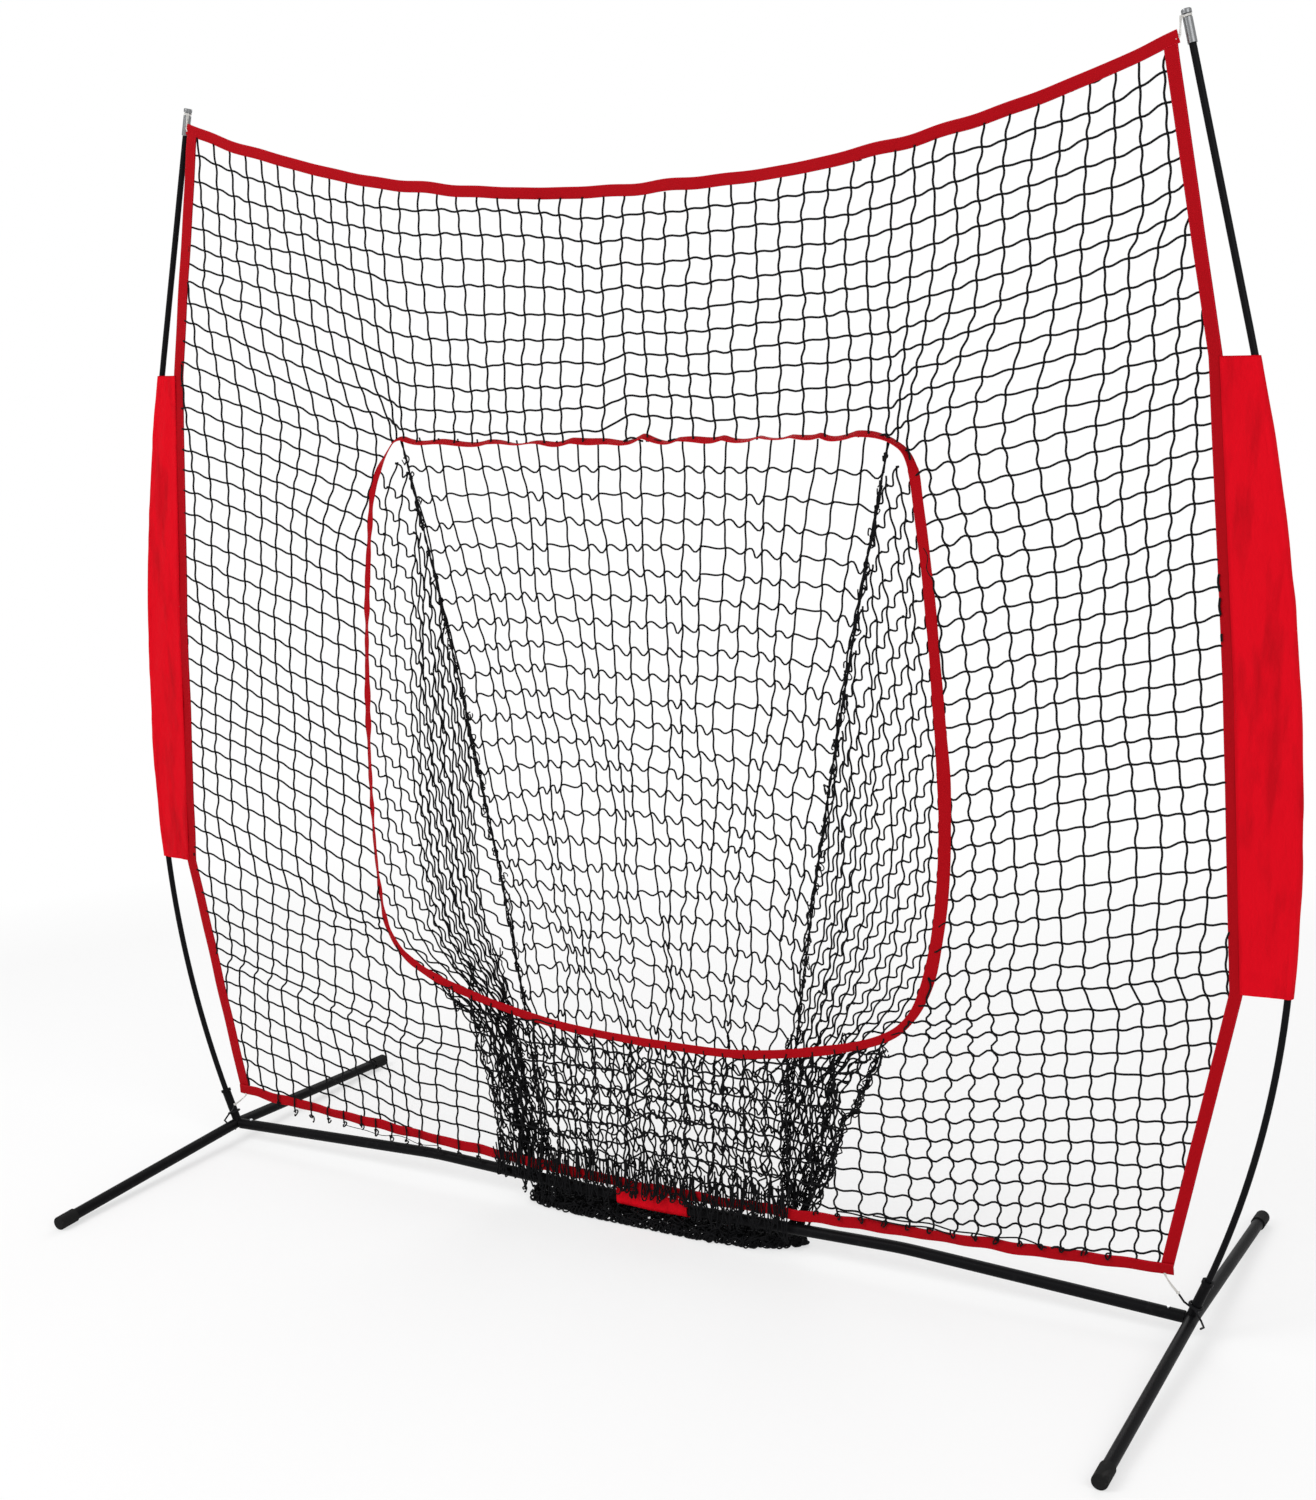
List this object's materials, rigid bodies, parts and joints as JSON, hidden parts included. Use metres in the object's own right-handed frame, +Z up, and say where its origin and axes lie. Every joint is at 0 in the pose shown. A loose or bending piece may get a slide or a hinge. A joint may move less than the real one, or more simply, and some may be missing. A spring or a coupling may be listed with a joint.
{
  "type": "pitching target net",
  "caption": "Square practice net on bowed poles with a steel tube base, red bindings and sleeves, and a ball pouch hanging behind a rounded opening.",
  "frame": {"origin": "on the ground under the middle of the crossbar", "axes": "+X to the right seen from the front, +Y to the back, away from the thrower, +Z up"},
  "size_m": [2.4016, 1.04, 2.134],
  "materials": {
    "tube_steel": "black powder coat with a slight sheen",
    "cap_rubber": "matte black rubber",
    "pole_fibreglass": "smooth glossy black glass fibre rod",
    "tip_metal": "satin silver-grey",
    "bright_steel": "bright zinc-plated steel",
    "hook_wire": "black coated wire",
    "net_string": "black knotless polyester string, slightly glossy",
    "webbing_red": "woven red webbing with two stitch lines",
    "sleeve_red": "plain-woven red cloth, lightly wrinkled",
    "loop_elastic": "white braided elastic cord"
  },
  "bodies": {
    "frame_and_net": {"foot_tube_left": "tube_steel", "foot_tube_right": "tube_steel", "foot_cap_front_left": "cap_rubber", "foot_cap_rear_left": "cap_rubber", "foot_cap_front_right": "cap_rubber", "foot_cap_rear_right": "cap_rubber", "bar_stub_left": "tube_steel", "bar_stub_right": "tube_steel", "pole_socket_left": "tube_steel", "pole_socket_right": "tube_steel", "crossbar_left": "tube_steel", "crossbar_right": "tube_steel", "crossbar_splice": "tube_steel", "snap_spring_left": "bright_steel", "snap_spring_right": "bright_steel", "snap_spring_middle": "bright_steel", "pole_lower_left": "pole_fibreglass", "pole_lower_right": "pole_fibreglass", "pole_middle_left": "pole_fibreglass", "pole_middle_right": "pole_fibreglass", "pole_upper_left": "pole_fibreglass", "pole_upper_right": "pole_fibreglass", "ferrule_lower_left": "bright_steel", "ferrule_lower_right": "bright_steel", "ferrule_upper_left": "bright_steel", "ferrule_upper_right": "bright_steel", "pole_tip_left": "tip_metal", "pole_tip_right": "tip_metal", "net_hook_left": "hook_wire", "net_hook_right": "hook_wire", "loop_top_left": "loop_elastic", "loop_top_right": "loop_elastic", "loop_bottom_left": "loop_elastic", "loop_bottom_right": "loop_elastic", "net_top": "net_string", "net_left": "net_string", "net_right": "net_string", "net_bottom_left": "net_string", "net_bottom_middle": "net_string", "net_bottom_right": "net_string", "binding_top": "webbing_red", "binding_bottom": "webbing_red", "binding_left": "webbing_red", "binding_right": "webbing_red", "sleeve_left": "sleeve_red", "sleeve_right": "sleeve_red", "throat_tape": "webbing_red", "pouch_back": "net_string", "pouch_front": "net_string", "pouch_left": "net_string", "pouch_right": "net_string", "pouch_heap": "net_string", "bar_strap": "sleeve_red"},
    "snap_button_left": {"snap_button_left": "bright_steel"},
    "snap_button_right": {"snap_button_right": "bright_steel"},
    "snap_button_middle": {"snap_button_middle": "bright_steel"}
  },
  "joints": [
    {"name": "button_left_press", "type": "slide", "parent": "frame_and_net", "child": "snap_button_left", "axis": [0.0419, 0, -0.9991], "range_m": [0, 0.004], "stiffness_N_per_m": 2000, "springref_m": -0.002},
    {"name": "button_right_press", "type": "slide", "parent": "frame_and_net", "child": "snap_button_right", "axis": [-0.0419, 0, -0.9991], "range_m": [0, 0.004], "stiffness_N_per_m": 2000, "springref_m": -0.002},
    {"name": "button_middle_press", "type": "slide", "parent": "frame_and_net", "child": "snap_button_middle", "axis": [-0.0262, 0, -0.9997], "range_m": [0, 0.004], "stiffness_N_per_m": 2000, "springref_m": -0.002}
  ]
}
